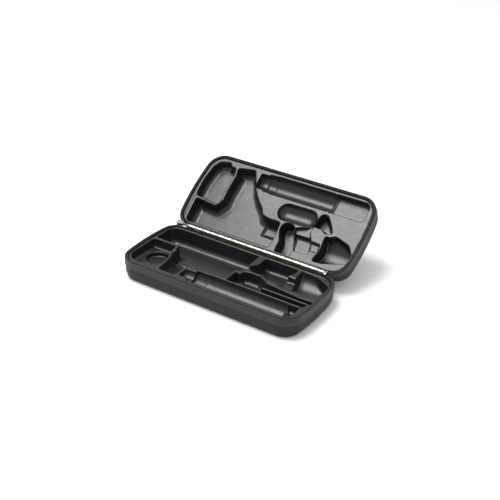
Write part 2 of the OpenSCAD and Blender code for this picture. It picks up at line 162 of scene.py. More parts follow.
def straight(x0, x1, y, step):
    """Stations along a long side, without its end points."""
    n = max(1, round(abs(x1 - x0) / step))
    a = math.copysign(math.pi / 2, y)
    return [(x0 + (x1 - x0) * k / n, y - math.copysign(10, y), 10, a) for k in range(1, n)]


def loop_path(step):
    half = right_side(step, math.pi / 2)
    rear, front = half[-1][0], half[0][0]
    return half + straight(rear, -rear, HALF_W, step) + mirrored(half) + straight(-front, front, -HALF_W, step)


def zip_path(step):
    left = mirrored(right_side(step, math.pi / 2 - math.radians(ZIP_TURN_LEFT)))
    right = right_side(step, math.pi / 2 - math.radians(ZIP_TURN_RIGHT))
    return left + straight(left[-1][0], right[0][0], -HALF_W, step) + right


def on(station, inset, z=0.0):
    cx, cy, r, a = station
    return (cx + (r - inset) * math.cos(a), cy + (r - inset) * math.sin(a), z)


def lengths(stations):
    p = np.array([on(s, 0)[:2] for s in stations])
    return np.concatenate([[0], np.cumsum(np.linalg.norm(np.diff(p, axis=0), axis=1))])


def sweep(name, stations, section, material, half, closed=False, ring=True):
    """Runs a section of (inset, z) points along the stations. A closed section makes a bar."""
    n, m = len(stations), len(section)
    verts = [on(s, i, z) for s in stations for i, z in section]
    along = lengths(stations)
    sec = np.array(section + section[:1])
    across = np.concatenate([[0], np.cumsum(np.linalg.norm(np.diff(sec, axis=0), axis=1))])
    faces, uvs = [], []
    for j in range(n if closed else n - 1):
        for k in range(m if ring else m - 1):
            a, b = j * m + k, j * m + (k + 1) % m
            c, d = ((j + 1) % n) * m + (k + 1) % m, ((j + 1) % n) * m + k
            faces.append((a, d, c, b))
            u0 = along[j]
            u1 = along[j + 1] if j + 1 < n else along[-1] + along[1]
            v0, v1 = across[k], across[k + 1]
            uvs.append(((u0, v0), (u1, v0), (u1, v1), (u0, v1)))
    if not closed and ring:
        faces.append(tuple(range(m)))
        uvs.append(tuple((p[0], p[1]) for p in section))
        faces.append(tuple((n - 1) * m + k for k in reversed(range(m))))
        uvs.append(tuple((p[0], p[1]) for p in reversed(section)))
    return mesh_object(name, verts, faces, material, half.body, half, uvs)


# materials
def new_material(name):
    m = bpy.data.materials.new(name)
    m.use_nodes = True
    nt = m.node_tree
    nt.nodes.clear()
    out = nt.nodes.new("ShaderNodeOutputMaterial")
    bsdf = nt.nodes.new("ShaderNodeBsdfPrincipled")
    nt.links.new(bsdf.outputs[0], out.inputs[0])
    return m, nt, bsdf


def node(nt, kind, links=(), **settings):
    """A node with its sockets set by name, and links as (socket, source output)."""
    n = nt.nodes.new(kind)
    for key, value in settings.items():
        if key in n.inputs.keys():
            n.inputs[key].default_value = value
        else:
            setattr(n, key, value)
    for socket, source in links:
        nt.links.new(source, n.inputs[socket])
    return n


def noise(nt, vector, scale, detail=3.0, rough=0.55):
    n = node(nt, "ShaderNodeTexNoise", [("Vector", vector)])
    n.inputs["Scale"].default_value = scale
    n.inputs["Detail"].default_value = detail
    n.inputs["Roughness"].default_value = rough
    return n.outputs["Fac"]


def math_node(nt, op, a, b=0.5):
    n = nt.nodes.new("ShaderNodeMath")
    n.operation = op
    for i, x in enumerate((a, b)):
        if isinstance(x, (int, float)):
            n.inputs[i].default_value = x
        else:
            nt.links.new(x, n.inputs[i])
    return n.outputs[0]


def shade_between(nt, fac, dark, light):
    n = nt.nodes.new("ShaderNodeMix")
    n.data_type = "RGBA"
    nt.links.new(fac, n.inputs[0])
    n.inputs[6].default_value = (*dark, 1)
    n.inputs[7].default_value = (*light, 1)
    return n.outputs[2]


def value_range(nt, value, lo, hi):
    n = nt.nodes.new("ShaderNodeMapRange")
    nt.links.new(value, n.inputs["Value"])
    n.inputs["To Min"].default_value = lo
    n.inputs["To Max"].default_value = hi
    return n.outputs["Result"]


def bumped(nt, bsdf, height, strength, distance):
    b = nt.nodes.new("ShaderNodeBump")
    b.inputs["Strength"].default_value = strength
    b.inputs["Distance"].default_value = distance
    nt.links.new(height, b.inputs["Height"])
    nt.links.new(b.outputs[0], bsdf.inputs["Normal"])


def weave_height(nt, pitch):
    """Plain weave over the UV map, which is in millimetres: threads over and under."""
    uv = node(nt, "ShaderNodeTexCoord").outputs["UV"]
    sep = node(nt, "ShaderNodeSeparateXYZ", [(0, uv)])
    k = 2 * math.pi / pitch
    u = math_node(nt, "SINE", math_node(nt, "MULTIPLY", sep.outputs[0], k))
    v = math_node(nt, "SINE", math_node(nt, "MULTIPLY", sep.outputs[1], k))
    return math_node(nt, "MULTIPLY", u, v)


def tray_material():
    m, nt, b = new_material("tray_plastic")
    obj = node(nt, "ShaderNodeTexCoord").outputs["Object"]
    broad = noise(nt, obj, 45, 3)
    grain = noise(nt, obj, 2600, 2)
    tone = shade_between(nt, broad, (0.008, 0.0083, 0.0095), (0.016, 0.0164, 0.0185))
    nt.links.new(tone, b.inputs["Base Color"])
    rough = value_range(nt, noise(nt, obj, 90, 4), 0.2, 0.4)
    nt.links.new(rough, b.inputs["Roughness"])
    b.inputs["Specular IOR Level"].default_value = 0.46
    # formed sheet is never quite flat: slow waves under the fine grain
    waves = math_node(nt, "MULTIPLY", noise(nt, obj, 38, 2), 6.0)
    bumped(nt, b, math_node(nt, "ADD", waves, grain), 0.24, 0.0002)
    return m


def cover_material():
    m, nt, b = new_material("case_cover")
    obj = node(nt, "ShaderNodeTexCoord").outputs["Object"]
    broad = noise(nt, obj, 30, 3)
    tone = shade_between(nt, broad, (0.0085, 0.009, 0.0108), (0.0155, 0.016, 0.0185))
    nt.links.new(tone, b.inputs["Base Color"])
    b.inputs["Roughness"].default_value = 0.55
    b.inputs["Specular IOR Level"].default_value = 0.25
    b.inputs["Sheen Weight"].default_value = 0.03
    b.inputs["Sheen Roughness"].default_value = 0.45
    height = math_node(nt, "ADD", weave_height(nt, 0.9), noise(nt, obj, 900, 2))
    bumped(nt, b, height, 0.25, 0.00012)
    return m


def tape_material():
    m, nt, b = new_material("zip_tape")
    obj = node(nt, "ShaderNodeTexCoord").outputs["Object"]
    tone = shade_between(nt, noise(nt, obj, 120, 3), (0.005, 0.005, 0.006), (0.011, 0.011, 0.013))
    nt.links.new(tone, b.inputs["Base Color"])
    b.inputs["Roughness"].default_value = 0.72
    b.inputs["Sheen Weight"].default_value = 0.2
    bumped(nt, b, weave_height(nt, 1.1), 0.5, 0.00015)
    return m


def welt_material():
    m, nt, b = new_material("welt")
    obj = node(nt, "ShaderNodeTexCoord").outputs["Object"]
    tone = shade_between(nt, noise(nt, obj, 90, 3), (0.022, 0.0225, 0.026), (0.036, 0.037, 0.042))
    nt.links.new(tone, b.inputs["Base Color"])
    b.inputs["Roughness"].default_value = 0.45
    bumped(nt, b, weave_height(nt, 0.8), 0.2, 0.0001)
    return m


def coil_material():
    m, nt, b = new_material("zip_coil")
    obj = node(nt, "ShaderNodeTexCoord").outputs["Object"]
    tone = shade_between(nt, noise(nt, obj, 400, 2), (0.016, 0.016, 0.018), (0.03, 0.03, 0.034))
    nt.links.new(tone, b.inputs["Base Color"])
    b.inputs["Roughness"].default_value = 0.4
    bumped(nt, b, noise(nt, obj, 3000, 1), 0.1, 0.0001)
    return m


def thread_material():
    m, nt, b = new_material("thread")
    obj = node(nt, "ShaderNodeTexCoord").outputs["Object"]
    tone = shade_between(nt, noise(nt, obj, 700, 2), (0.05, 0.051, 0.057), (0.09, 0.09, 0.1))
    nt.links.new(tone, b.inputs["Base Color"])
    b.inputs["Roughness"].default_value = 0.6
    bumped(nt, b, noise(nt, obj, 5000, 1), 0.3, 0.0001)
    return m


def metal_material(name, dark, light, rough_lo, rough_hi, scale=(1, 60, 60), grain=500):
    """Metal with a drawn grain along x."""
    m, nt, b = new_material(name)
    obj = node(nt, "ShaderNodeTexCoord").outputs["Object"]
    stretch = node(nt, "ShaderNodeMapping", [("Vector", obj)])
    stretch.inputs["Scale"].default_value = scale
    lines = noise(nt, stretch.outputs[0], grain, 2)
    tone = shade_between(nt, noise(nt, obj, 130, 4), dark, light)
    nt.links.new(tone, b.inputs["Base Color"])
    b.inputs["Metallic"].default_value = 1.0
    nt.links.new(value_range(nt, lines, rough_lo, rough_hi), b.inputs["Roughness"])
    bumped(nt, b, lines, 0.05, 0.0001)
    return m


TRAY = tray_material()
COVER = cover_material()
TAPE = tape_material()
WELT = welt_material()
COIL = coil_material()
THREAD = thread_material()
NICKEL = metal_material("hinge_nickel", (0.86, 0.85, 0.8), (0.96, 0.95, 0.92), 0.26, 0.32)
# leaf plate: a real brass olive tint, darkened with painted shade for the shade inside the wall
LEAF_PAINTED_SHADE = metal_material("hinge_leaf", (0.05, 0.046, 0.034), (0.12, 0.112, 0.085), 0.4, 0.6)
RIVET = metal_material("rivet", (0.3, 0.28, 0.22), (0.5, 0.48, 0.4), 0.3, 0.45)
GUNMETAL = metal_material("slider_metal", (0.16, 0.16, 0.165), (0.3, 0.3, 0.31), 0.3, 0.45)


# shells, tape, coil, welt
def edge_section(h, inner):
    """From the rim down the wall and round the outer edge: (inset, z) points."""
    top = -TAPE_T
    start = TAPE_T + inner
    floor = -h + inner * 1.3
    steps = 10
    out = [(start, top - 0.25), (start, -TAPE_H), (start, -TAPE_H - WELT_H - 1.0)]
    rise = EDGE_H - inner * 1.3
    for k in range(steps + 1):
        t = math.sin(k / steps * math.pi / 2)
        drop = 1 - math.cos(k / steps * math.pi / 2)
        out.append((start + EDGE_IN * drop, floor + rise * (1 - t)))
    return out


def shell(half, h):
    """Closed shell: outer wall with a rounded edge, flat outer face, inner wall, rolled top edge."""
    path = loop_path(2.2)
    outer, inner = edge_section(h, 0.0), edge_section(h, SHELL_T)
    rings = [(i, z) for i, z in reversed(outer)] + [(TAPE_T + 0.3, -TAPE_T)] + \
            [(TAPE_T + SHELL_T - 0.3, -TAPE_T)] + inner
    n, m = len(path), len(rings)
    verts = [on(s, i, z) for i, z in rings for s in path]
    along = lengths(path)
    total = along[-1] + along[1]
    sec = np.array(rings)
    across = np.concatenate([[0], np.cumsum(np.linalg.norm(np.diff(sec, axis=0), axis=1))])
    faces, uvs = [], []
    for j in range(m - 1):
        for k in range(n):
            k1 = (k + 1) % n
            faces.append((j * n + k, j * n + k1, (j + 1) * n + k1, (j + 1) * n + k))
            u1 = along[k1] if k1 else total
            uvs.append(((along[k], across[j]), (u1, across[j]), (u1, across[j + 1]), (along[k], across[j + 1])))
    for ring_index, flip in ((0, True), (m - 1, False)):
        loop = [ring_index * n + k for k in range(n)]
        loop = loop[::-1] if flip else loop
        faces.append(tuple(loop))
        uvs.append(tuple((verts[v][0], verts[v][1]) for v in loop))
    obj = mesh_object(half.body + "_cover_shell", verts, faces, COVER, half.body, half, uvs)
    sharp(obj, 50)
    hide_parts(half.body + "_shell")
    return obj


def tape(half):
    path = zip_path(1.8)
    r = 0.9
    bend = [(r - r * math.sin(a), -r + r * math.cos(a)) for a in np.linspace(0, math.pi / 2, 6)]
    section = [(TAPE_FOLD, -TAPE_T * 0.98), (TAPE_FOLD + 0.15, -TAPE_T * 0.5), (TAPE_FOLD, -0.02), (2.6, 0)]
    section += bend + [(0, -TAPE_H * 0.6), (0, -TAPE_H), (TAPE_T, -TAPE_H), (TAPE_T, -TAPE_T)]
    obj = sweep(half.body + "_tape", path, section, TAPE, half)
    sharp(obj, 60)
    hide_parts(half.body + "_zip_tape")
    return obj


def coil(half, pitch=1.5, wire=0.33):
    """The coil row: one slanted loop of wire after another along the tape."""
    path = zip_path(1.0)
    along = lengths(path)
    count = int(along[-1] / pitch) - 1
    mid = COIL_IN + COIL_W / 2
    centre_z = wire + 0.02
    height = COIL_H - 2 * wire - 0.04
    turns, sides = 12, 6
    verts, faces = [], []
    st = np.array(path)
    for c in range(count):
        d = (c + 0.5 + 0.25) * pitch
        i = min(np.searchsorted(along, d), len(path) - 1)
        f = (d - along[i - 1]) / (along[i] - along[i - 1])
        cx, cy, r, a = st[i - 1] * (1 - f) + st[i] * f
        origin = np.array([cx + (r - mid) * math.cos(a), cy + (r - mid) * math.sin(a), 0])
        across = np.array([math.cos(a), math.sin(a), 0])
        forward = np.array([-math.sin(a), math.cos(a), 0])
        first = len(verts)
        for k in range(turns):
            t = 2 * math.pi * k / turns
            ct, sn = math.cos(t), math.sin(t)
            p = origin + across * (COIL_W / 2 - wire) * ct + forward * 0.3 * pitch * sn * 0.9
            p = p + np.array([0, 0, centre_z + height * (0.5 + 0.5 * sn)])
            out = across * ct + np.array([0, 0, sn])
            for j in range(sides):
                w = 2 * math.pi * j / sides
                verts.append(p + wire * (out * math.cos(w) + forward * math.sin(w)))
        for k in range(turns):
            for j in range(sides):
                a0 = first + k * sides + j
                a1 = first + k * sides + (j + 1) % sides
                b0 = first + ((k + 1) % turns) * sides + j
                b1 = first + ((k + 1) % turns) * sides + (j + 1) % sides
                faces.append((a0, a1, b1, b0))
    obj = mesh_object(half.body + "_coil", verts, faces, COIL, half.body, half)
    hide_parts(half.body + "_zip_coil")
    return obj


def welt(half):
    path = zip_path(1.8)
    z = -TAPE_H - WELT_H / 2
    section = [(TAPE_T + 0.3, z + WELT_H / 2)]
    for a in np.linspace(math.pi / 2, -math.pi / 2, 9):
        section.append((TAPE_T * 0.9 - 1.15 * math.cos(a), z + WELT_H / 2 * math.sin(a)))
    section.append((TAPE_T + 0.3, z - WELT_H / 2))
    obj = sweep(half.body + "_binding", path, section, WELT, half)
    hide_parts(half.body + "_welt")
    return obj


def stitches(half, name, place, length=2.3, gap=0.9, radius=0.22):
    """A row of lockstitches along the zip. place(station) gives the point and the outward normal."""
    path = zip_path(1.0)
    along = lengths(path)
    st = np.array(path)
    count = int((along[-1] - 4) / (length + gap))
    sides, rings = 6, 5
    verts, faces = [], []
    for c in range(count):
        d = 2 + (c + 0.5) * (length + gap)
        i = min(np.searchsorted(along, d), len(path) - 1)
        f = (d - along[i - 1]) / (along[i] - along[i - 1])
        station = tuple(st[i - 1] * (1 - f) + st[i] * f)
        p, nrm = place(station)
        p, nrm = np.array(p), np.array(nrm)
        forward = np.array([-math.sin(station[3]), math.cos(station[3]), 0])
        side = np.cross(nrm, forward)
        first = len(verts)
        for k in range(rings):
            t = k / (rings - 1)
            q = p + forward * (t - 0.5) * length + nrm * radius * (1.6 * math.sin(math.pi * t) - 0.8)
            rr = radius * (0.55 + 0.45 * math.sin(math.pi * t))
            for j in range(sides):
                w = 2 * math.pi * j / sides
                verts.append(q + rr * (nrm * math.cos(w) + side * math.sin(w)))
        for k in range(rings - 1):
            for j in range(sides):
                a0, a1 = first + k * sides + j, first + k * sides + (j + 1) % sides
                faces.append((a0, a1, a1 + sides, a0 + sides))
        faces.append(tuple(first + j for j in reversed(range(sides))))
        faces.append(tuple(first + (rings - 1) * sides + j for j in range(sides)))
    obj = mesh_object(f"{half.body}_{name}", verts, faces, THREAD, half.body, half)
    return obj


def outward(station):
    return (math.cos(station[3]), math.sin(station[3]), 0)


# trays as distance fields
CELL = 0.8
MARGIN = 1.0
X = np.arange(-HALF_L + TRAY_IN - MARGIN, HALF_L - TRAY_IN + MARGIN + CELL, CELL, dtype=np.float32)
S = np.arange(TRAY_IN - MARGIN, CASE_W - TRAY_IN + MARGIN + CELL, CELL, dtype=np.float32)
Z = np.arange(-29.0, 2.4, CELL, dtype=np.float32)
GX, GS = np.meshgrid(X, S, indexing="ij")
FAR = 12.0


def round_min(a, b, r):
    """Smaller of two distances, with a fillet of radius r where they meet."""
    u, v = np.maximum(r - a, 0), np.maximum(r - b, 0)
    return np.maximum(r, np.minimum(a, b)) - np.sqrt(u * u + v * v)


def round_max(a, b, r):
    return -round_min(-a, -b, r)


def rounded(corners):
    """Points round a counter-clockwise outline of (x, s, radius) corners."""
    pts = []
    n = len(corners)
    for i in range(n):
        p, q, w = (np.array(corners[j % n][:2], float) for j in (i, i - 1, i + 1))
        r = corners[i][2]
        d1, d2 = (p - q) / np.linalg.norm(p - q), (w - p) / np.linalg.norm(w - p)
        turn = math.atan2(d1[0] * d2[1] - d1[1] * d2[0], d1 @ d2)
        n1 = np.array([d1[1], -d1[0]])
        side = 1 if turn > 0 else -1
        start = p - d1 * r * math.tan(abs(turn) / 2)
        mid = start - side * n1 * r
        a0 = math.atan2(side * n1[1], side * n1[0])
        steps = max(1, round(abs(turn) / math.radians(9)))
        for k in range(steps + 1):
            a = a0 + turn * k / steps
            pts.append(mid + r * np.array([math.cos(a), math.sin(a)]))
    return np.array(pts, np.float32)


def plan_distance(pts, xs=None, ss=None):
    """Signed distance in plan to a closed outline, negative inside, on the grid or at given points."""
    whole = xs is None
    if whole:
        lo, hi = pts.min(0) - FAR, pts.max(0) + FAR
        i0, i1 = np.searchsorted(X, [lo[0], hi[0]])
        j0, j1 = np.searchsorted(S, [lo[1], hi[1]])
        xs, ss = GX[i0:i1, j0:j1], GS[i0:i1, j0:j1]
    best = np.full(xs.shape, 1e9, np.float32)
    inside = np.zeros(xs.shape, bool)
    for a, b in zip(pts, np.roll(pts, -1, 0)):
        e = b - a
        L = float(e @ e)
        if L < 1e-12:
            continue
        wx, ws = xs - a[0], ss - a[1]
        t = np.clip((wx * e[0] + ws * e[1]) / L, 0, 1)
        best = np.minimum(best, (wx - t * e[0]) ** 2 + (ws - t * e[1]) ** 2)
        if a[1] != b[1]:
            cross = (a[1] <= ss) != (b[1] <= ss)
            inside ^= cross & (xs < a[0] + (ss - a[1]) / (b[1] - a[1]) * (b[0] - a[0]))
    d = np.sqrt(best) * np.where(inside, -1, 1)
    if not whole:
        return d
    full = np.full(GX.shape, FAR, np.float32)
    full[i0:i1, j0:j1] = np.minimum(d, FAR)
    return full


class Air:
    """The air over a tray: the space above its flange and in its pockets. Negative in the air."""

    def __init__(self, lip):
        self.lip = lip
        self.field = np.broadcast_to(-Z, (*GX.shape, len(Z))).copy()

    def add(self, pocket, window, lip=None):
        i0, i1, j0, j1 = window
        part = self.field[i0:i1, j0:j1]
        self.field[i0:i1, j0:j1] = round_min(part, pocket, lip or self.lip)

    def window(self, d2, reach=6.0):
        near = np.argwhere(d2 < reach)
        i0, j0 = near.min(0)
        i1, j1 = near.max(0) + 1
        return i0, i1, j0, j1

    def well(self, corners, depth, foot=2.5, draft=4.0, lip=None):
        """A pocket with drafted walls. depth is a number or a function of (x, s) for a shaped floor."""
        d2 = plan_distance(rounded(corners))
        w = self.window(d2)
        d2 = d2[w[0]:w[1], w[2]:w[3], None]
        t = math.radians(draft)
        wall = (d2 - Z * math.tan(t)) * math.cos(t)
        if callable(depth):
            x, s = GX[w[0]:w[1], w[2]:w[3]], GS[w[0]:w[1], w[2]:w[3]]
            D = depth(x, s).astype(np.float32)
            gx, gs = np.gradient(D, CELL)
            scale = 1 / np.sqrt(1 + gx ** 2 + gs ** 2)
            floor = -(Z + D[..., None]) * scale[..., None]
        else:
            floor = np.broadcast_to(-(Z + depth), wall.shape)
        self.add(round_max(wall, floor, foot), w, lip)

    def bar(self, x0, x1, s, r, foot=1.5, axis_z=0.0, lip=None):
        """A half-round bed along x with flat ends."""
        w = (*np.searchsorted(X, [x0 - 6, x1 + 6]), *np.searchsorted(S, [s - r - 6, s + r + 6]))
        x, q = GX[w[0]:w[1], w[2]:w[3], None], GS[w[0]:w[1], w[2]:w[3], None]
        tube = np.sqrt((q - s) ** 2 + (Z - axis_z) ** 2) - r
        ends = np.abs(x - (x0 + x1) / 2) - (x1 - x0) / 2
        self.add(round_max(tube, ends + np.zeros_like(tube), foot), w, lip)

    def bowl(self, a, b, r, depth, lip=None):
        """A spoon-shaped hollow along the line a-b: round in plan and in section."""
        a, b = np.array(a, float), np.array(b, float)
        w = (*np.searchsorted(X, [min(a[0], b[0]) - r - 6, max(a[0], b[0]) + r + 6]),
             *np.searchsorted(S, [min(a[1], b[1]) - r - 6, max(a[1], b[1]) + r + 6]))
        x, q = GX[w[0]:w[1], w[2]:w[3], None], GS[w[0]:w[1], w[2]:w[3], None]
        e = b - a
        t = np.clip(((x - a[0]) * e[0] + (q - a[1]) * e[1]) / max(e @ e, 1e-6), 0, 1)
        plan = np.sqrt((x - a[0] - t * e[0]) ** 2 + (q - a[1] - t * e[1]) ** 2)
        k = r / depth
        rr = np.sqrt(plan ** 2 + (Z * k) ** 2)
        grad = np.sqrt(plan ** 2 + (Z * k * k) ** 2) / np.maximum(rr, 1e-3)
        self.add((rr - r) / np.maximum(grad, 0.5), w, lip)

    def fill(self, solid, window, fillet):
        """Puts material back: solid is negative inside the added material."""
        i0, i1, j0, j1 = window
        part = self.field[i0:i1, j0:j1]
        self.field[i0:i1, j0:j1] = round_max(part, -solid, fillet)


def sample(field, p):
    """Trilinear value and gradient of a field at points (x, s, z)."""
    f = np.stack([(p[:, 0] - X[0]) / CELL, (p[:, 1] - S[0]) / CELL, (p[:, 2] - Z[0]) / CELL], 1)
    i = np.clip(np.floor(f).astype(int), 0, np.array(field.shape) - 2)
    t = f - i
    c = {}
    for dx in (0, 1):
        for dy in (0, 1):
            for dz in (0, 1):
                c[dx, dy, dz] = field[i[:, 0] + dx, i[:, 1] + dy, i[:, 2] + dz]
    tx, ty, tz = t.T
    def mix(a, b, k):
        return a * (1 - k) + b * k
    x00, x10 = mix(c[0, 0, 0], c[1, 0, 0], tx), mix(c[0, 1, 0], c[1, 1, 0], tx)
    x01, x11 = mix(c[0, 0, 1], c[1, 0, 1], tx), mix(c[0, 1, 1], c[1, 1, 1], tx)
    y0, y1 = mix(x00, x10, ty), mix(x01, x11, ty)
    value = mix(y0, y1, tz)
    gz = (y1 - y0) / CELL
    gy = mix(x10 - x00, x11 - x01, tz) / CELL
    gx = mix(mix(c[1, 0, 0] - c[0, 0, 0], c[1, 1, 0] - c[0, 1, 0], ty),
             mix(c[1, 0, 1] - c[0, 0, 1], c[1, 1, 1] - c[0, 1, 1], ty), tz) / CELL
    return value, np.stack([gx, gy, gz], 1)


def smooth_gradient(field, p):
    """Gradient from centred differences one cell apart, steadier than the trilinear one."""
    g = []
    for axis in range(3):
        h = np.zeros(3)
        h[axis] = CELL * 0.75
        g.append((sample(field, p + h)[0] - sample(field, p - h)[0]) / (1.5 * CELL))
    g = np.stack(g, 1)
    return g / np.maximum(np.linalg.norm(g, axis=1), 1e-6)[:, None]


def surface(field):
    """Surface nets over the field's zero level: vertices (x, s, z) and quads facing the air."""
    neg = field < 0
    n = np.array(field.shape)
    lo = tuple(slice(0, -1) for _ in range(3))
    count = np.zeros(n - 1, np.int8)
    corners = [(dx, dy, dz) for dx in (0, 1) for dy in (0, 1) for dz in (0, 1)]
    for dx, dy, dz in corners:
        count += neg[dx:n[0] - 1 + dx, dy:n[1] - 1 + dy, dz:n[2] - 1 + dz]
    cells = np.argwhere((count > 0) & (count < 8))
    index = np.full(n - 1, -1, np.int64)
    index[tuple(cells.T)] = np.arange(len(cells))
    total = np.zeros((len(cells), 3))
    hits = np.zeros(len(cells))
    value = {c: field[tuple((cells + c).T)] for c in corners}
    for a in corners:
        for axis in range(3):
            if a[axis]:
                continue
            b = tuple(v + (k == axis) for k, v in enumerate(a))
            va, vb = value[a], value[b]
            cross = (va < 0) != (vb < 0)
            t = np.where(cross, va / np.where(cross, va - vb, 1), 0)
            p = np.array(a, float)[None] + t[:, None] * np.eye(3)[axis]
            total += np.where(cross[:, None], p, 0)
            hits += cross
    verts = cells + total / hits[:, None]
    verts = np.stack([X[0] + verts[:, 0] * CELL, S[0] + verts[:, 1] * CELL, Z[0] + verts[:, 2] * CELL], 1)
    quads = []
    for axis in range(3):
        u, v = (axis + 1) % 3, (axis + 2) % 3
        a = neg[tuple(slice(0, -1) if k == axis else slice(1, -1) for k in range(3))]
        b = neg[tuple(slice(1, None) if k == axis else slice(1, -1) for k in range(3))]
        for air_first in (True, False):
            where = np.argwhere(a & ~b if air_first else ~a & b)
            base = where.copy()
            base[:, u] += 1
            base[:, v] += 1
            ring = []
            for du, dv in ((-1, -1), (0, -1), (0, 0), (-1, 0)):
                c = base.copy()
                c[:, u] += du
                c[:, v] += dv
                ring.append(index[tuple(c.T)])
            ring = np.stack(ring, 1)
            quads.append(ring[:, ::-1] if air_first else ring)
    quads = np.concatenate(quads)
    return verts, quads[(quads >= 0).all(1)]


def tray_edge():
    pts = np.array([on(s, TRAY_IN)[:2] for s in loop_path(1.0)])
    return np.stack([pts[:, 0], HALF_W - pts[:, 1]], 1).astype(np.float32)


def nearest_on(pts, p):
    """The nearest point of a closed outline to each p, in plan."""
    best, out = np.full(len(p), 1e9), p.copy()
    for a, b in zip(pts, np.roll(pts, -1, 0)):
        e = b - a
        t = np.clip(((p - a) @ e) / max(e @ e, 1e-12), 0, 1)
        q = a + t[:, None] * e
        d = ((p - q) ** 2).sum(1)
        near = d < best
        best[near], out[near] = d[near], q[near]
    return out


def tray(half, air, name):
    field = air.field.astype(np.float64)
    verts, quads = surface(field)
    for _ in range(3):
        value, grad = sample(field, verts)
        verts -= (value / np.maximum((grad ** 2).sum(1), 0.25))[:, None] * grad
    edge = tray_edge()
    inset = plan_distance(edge, verts[:, 0].astype(np.float32), verts[:, 1].astype(np.float32))
    quads = quads[(inset[quads] < -0.15).all(1)]
    used, quads = np.unique(quads, return_inverse=True)
    verts, quads = verts[used], quads.reshape(-1, 4)
    # outline of what is left, moved onto the tray's true edge
    sides = np.concatenate([quads[:, [k, (k + 1) % 4]] for k in range(4)])
    keys = np.sort(sides, 1)
    _, first, times = np.unique(keys, axis=0, return_index=True, return_counts=True)
    border = sides[first[times == 1]]
    rim = np.unique(border)
    verts[rim, :2] = nearest_on(edge.astype(float), verts[rim, :2])
    verts[rim, 2] = -0.25
    normals = -smooth_gradient(field, verts)
    half_pts = np.stack([verts[:, 0], HALF_W - verts[:, 1], verts[:, 2] - TRAY_DOWN], 1)
    half_nrm = np.stack([normals[:, 0], -normals[:, 1], normals[:, 2]], 1)
    under = half_pts - half_nrm * TRAY_T
    n = len(half_pts)
    all_pts = np.concatenate([half_pts, under])
    # (x, s) is left-handed to (x, y), so the quads turn round
    top = quads[:, ::-1]
    bottom = quads + n
    wall = np.stack([border[:, 0], border[:, 1], border[:, 1] + n, border[:, 0] + n], 1)
    faces = np.concatenate([top, bottom, wall])
    obj = quick_mesh(name, all_pts, faces, TRAY, half)
    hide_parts(half.body + "_tray")
    return obj


def quick_mesh(name, pts, quads, material, half):
    """Like mesh_object, for large arrays of quads."""
    pts = half.place(pts)
    quads = quads[:, ::-1] if half.lid else quads
    mesh = bpy.data.meshes.new(name)
    mesh.vertices.add(len(pts))
    mesh.vertices.foreach_set("co", pts.astype(np.float32).ravel())
    mesh.loops.add(quads.size)
    mesh.loops.foreach_set("vertex_index", quads.astype(np.int32).ravel())
    mesh.polygons.add(len(quads))
    mesh.polygons.foreach_set("loop_start", np.arange(0, quads.size, 4, dtype=np.int32))
    mesh.update(calc_edges=True)
    mesh.validate()
    mesh.materials.append(material)
    mesh.shade_smooth()
    obj = bpy.data.objects.new(name, mesh)
    bpy.context.scene.collection.objects.link(obj)
    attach(obj, half.body)
    return obj


HS = HANDLE_S - HANDLE_R


def slope(s0, d0, s1, d1):
    """A floor that rises evenly from depth d0 at s0 to d1 at s1."""
    return lambda x, s: d0 + (d1 - d0) * np.clip((s - s0) / (s1 - s0), -0.3, 1.3)


def drum(air, corners, mid, depth=20.0, r=30.0):
    """A round bed along x inside an outline, deepest on the line s = mid."""
    air.well(corners, lambda x, s: depth - r + np.sqrt(np.maximum(r * r - (s - mid) ** 2, 4)), 2.5)


def base_air():
    air = Air(1.1)
    air.well([(-136, 53.5, 4), (-96.5, 53.5, 3), (-94.5, 68, 8), (-87.5, 84, 14), (-84.5, 101, 14),
              (-85.5, 118.7, 5), (-125, 118.7, 14), (-136, 106.7, 12)], 14, 4)
    air.well([(-129.4, 60.1, 17.3), (-94.6, 60.1, 17.3), (-94.6, 94.9, 17.3), (-129.4, 94.9, 17.3)],
             21, 1.5, 3, 0.8)
    air.well([(-135, 9.5, 14), (16, 8.5, 3), (17, 34, 5), (22, 45.5, 4), (17.5, 55, 3), (9, 60, 3),
              (9, HS - 2.5, 3), (-38, HS - 2.5, 6), (-50, 68, 8), (-91, 64, 6), (-93, 50, 3),
              (-135.5, 49, 4)], 24.8, 8)
    air.well([(-87, 61.2, 3), (-46, 61.2, 3), (-38.5, 84, 4), (-51, 92, 3), (-51, 118.7, 4),
              (-79, 118.7, 5), (-81, 101, 10), (-84, 84, 8), (-89.4, 71, 5)], slope(62, 24.2, 118.7, 9.5), 4)
    handle_bed(air, -47, 9.5, -31, -12, 112, 130, 12)
    for k in range(6):
        air.bar(-29.5 + 3 * k, -28.3 + 3 * k, HANDLE_S, HANDLE_R - 0.55, 0.3, lip=0.3)
    air.well([(12.5, 62, 2), (20, 66, 2), (21.5, 57, 3), (30, 54, 4), (46, 54, 5), (58, 61, 4),
              (63, 64, 4), (63, HS - 2.2, 2), (12.5, HS - 2.2, 3)], 17, 5)
    air.well([(54, 63.2, 1), (118, 70.3, 8), (138, 69, 3), (138, 76.5, 2), (54, 76.5, 1)], 11, 3)
    air.well([(60, 79, 1), (135, 79, 2), (132, HS - 2.8, 3), (60, HS - 2.8, 1)], 13, 3)
    air.well([(27.5, 8.5, 3), (81, 8.5, 3), (81, 20, 4), (75, 34, 6), (79, 54, 4), (60, 56, 6),
              (46, 51, 6), (31, 50.5, 4), (23, 45, 4), (20.5, 38, 3), (28, 28, 4)], 19, 5)
    air.well([(72, 32, 3), (97, 32, 3), (101, 58.5, 2), (97, 62.5, 3), (86, 62, 3), (72, 53, 3)], 9, 3, lip=3)
    drum(air, [(86.5, 8.5, 3), (112, 11, 25), (136.5, 24, 10), (138, 42, 25), (131, 58.6, 10),
               (105, 61, 10), (95.5, 60, 3), (89.5, 35, 20)], 35.1)
    return air


